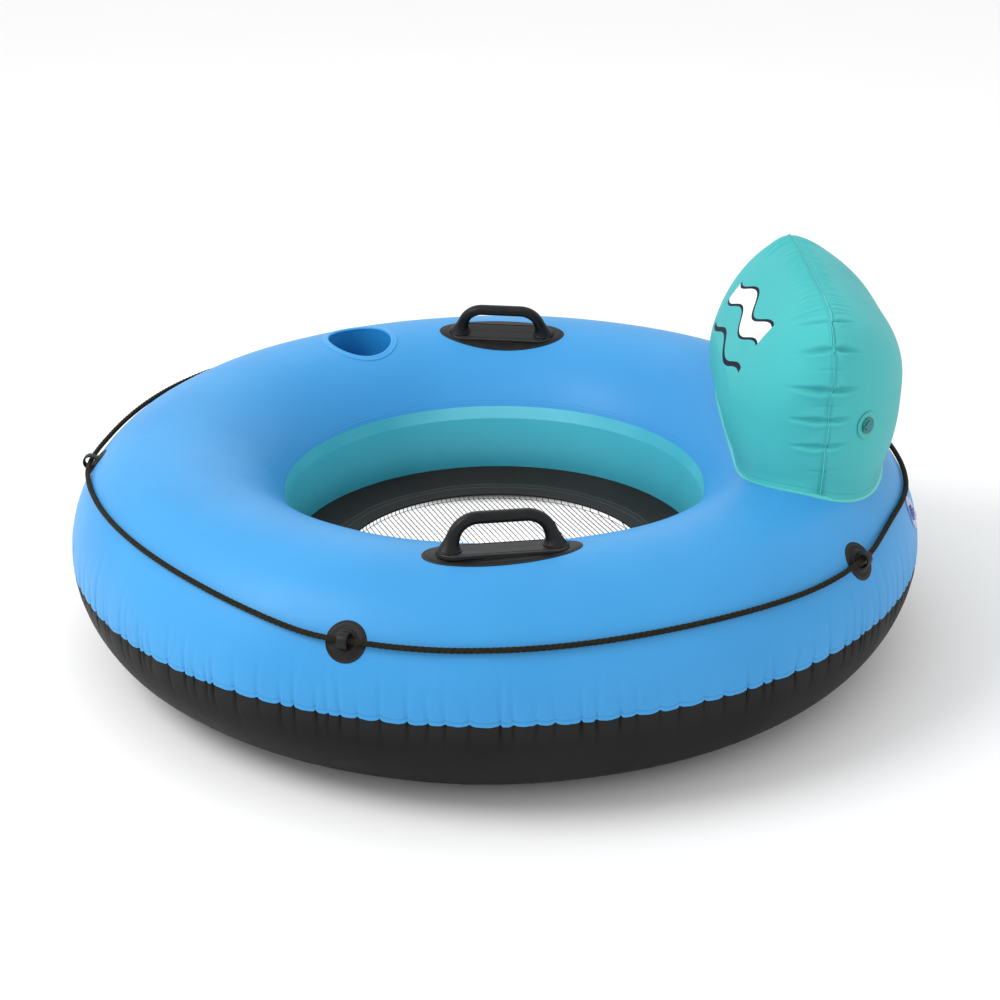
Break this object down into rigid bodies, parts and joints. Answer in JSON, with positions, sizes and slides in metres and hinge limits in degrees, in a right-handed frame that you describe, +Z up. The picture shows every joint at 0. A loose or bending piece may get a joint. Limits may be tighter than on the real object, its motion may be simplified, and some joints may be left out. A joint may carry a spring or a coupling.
{
  "type": "inflatable river tube",
  "caption": "Round inflatable lounge ring with mesh floor, inflatable backrest, cup pocket, moulded grab handles and a grab rope threaded round the outside.",
  "frame": {"origin": "on the ground at the middle of the air ring", "axes": "+Z up, +X from the middle of the seat towards the backrest, +Y to the sitter's right"},
  "size_m": [1.35, 1.35, 0.5893],
  "materials": {
    "sky_blue_sheet": "satin",
    "black_sheet": "satin",
    "teal_sheet": "satin",
    "light_teal_sheet": "satin",
    "aqua_sheet": "satin",
    "light_aqua_film": "satin",
    "dark_blue_film": "gloss",
    "black_mesh": "matt",
    "black_moulding": "satin",
    "dark_rope": "matt",
    "clear_moulding": "gloss"
  },
  "bodies": {
    "hull": {"top_skin": "sky_blue_sheet", "bottom_skin": "black_sheet", "inner_wall": "teal_sheet", "wall_top_band": "light_teal_sheet", "floor_ring": "black_sheet", "mesh_weld_strip": "black_sheet", "floor_mesh": "black_mesh", "cup_pocket": "dark_blue_film", "cup_weld_ring": "sky_blue_sheet", "near_handle_patch": "black_moulding", "near_handle_grip": "black_moulding", "far_handle_patch": "black_moulding", "far_handle_grip": "black_moulding", "grab_rope": "dark_rope", "rope_sleeve": "black_moulding", "backrest_front_panel": "aqua_sheet", "backrest_rear_panel": "aqua_sheet", "backrest_seam_fin": "aqua_sheet", "backrest_base_panel": "aqua_sheet", "backrest_weld_flange": "light_aqua_film", "rope_guide_1_patch": "black_moulding", "rope_guide_1_eye": "black_moulding", "rope_guide_2_patch": "black_moulding", "rope_guide_2_eye": "black_moulding", "rope_guide_3_patch": "black_moulding", "rope_guide_3_eye": "black_moulding", "rope_guide_4_patch": "black_moulding", "rope_guide_4_eye": "black_moulding", "rope_guide_5_patch": "black_moulding", "rope_guide_5_eye": "black_moulding", "main_valve_seat": "clear_moulding", "backrest_valve_seat": "clear_moulding"},
    "main_valve_stem": {"main_valve_stem": "clear_moulding"},
    "main_valve_plug": {"main_valve_plug": "clear_moulding"},
    "main_valve_flap": {"main_valve_flap": "clear_moulding"},
    "backrest_valve_stem": {"backrest_valve_stem": "clear_moulding"},
    "backrest_valve_plug": {"backrest_valve_plug": "clear_moulding"},
    "backrest_valve_flap": {"backrest_valve_flap": "clear_moulding"}
  },
  "joints": [
    {"name": "main_valve_stem_pull", "type": "slide", "parent": "hull", "child": "main_valve_stem", "axis": [0.9043, -0.1988, 0.3778], "range_m": [0, 0.009]},
    {"name": "main_valve_plug_hinge", "type": "hinge", "parent": "main_valve_stem", "child": "main_valve_plug", "pos_m": [0.64906, -0.15346, 0.23043], "axis": [0.369, -0.0811, -0.9259], "range_deg": [0, 130]},
    {"name": "main_valve_flap_hinge", "type": "hinge", "parent": "main_valve_stem", "child": "main_valve_flap", "pos_m": [0.62256, -0.14527, 0.21915], "axis": [-0.369, 0.0811, 0.9259], "range_deg": [0, 55]},
    {"name": "backrest_valve_stem_pull", "type": "slide", "parent": "hull", "child": "backrest_valve_stem", "axis": [0.6754, -0.7375, 0.0038], "range_m": [0, 0.009]},
    {"name": "backrest_valve_plug_hinge", "type": "hinge", "parent": "backrest_valve_stem", "child": "backrest_valve_plug", "pos_m": [0.53933, -0.27486, 0.42302], "axis": [0.0026, -0.0028, -1], "range_deg": [0, 130]},
    {"name": "backrest_valve_flap_hinge", "type": "hinge", "parent": "backrest_valve_stem", "child": "backrest_valve_flap", "pos_m": [0.52087, -0.25129, 0.4229], "axis": [-0.0026, 0.0028, 1], "range_deg": [0, 55]}
  ]
}
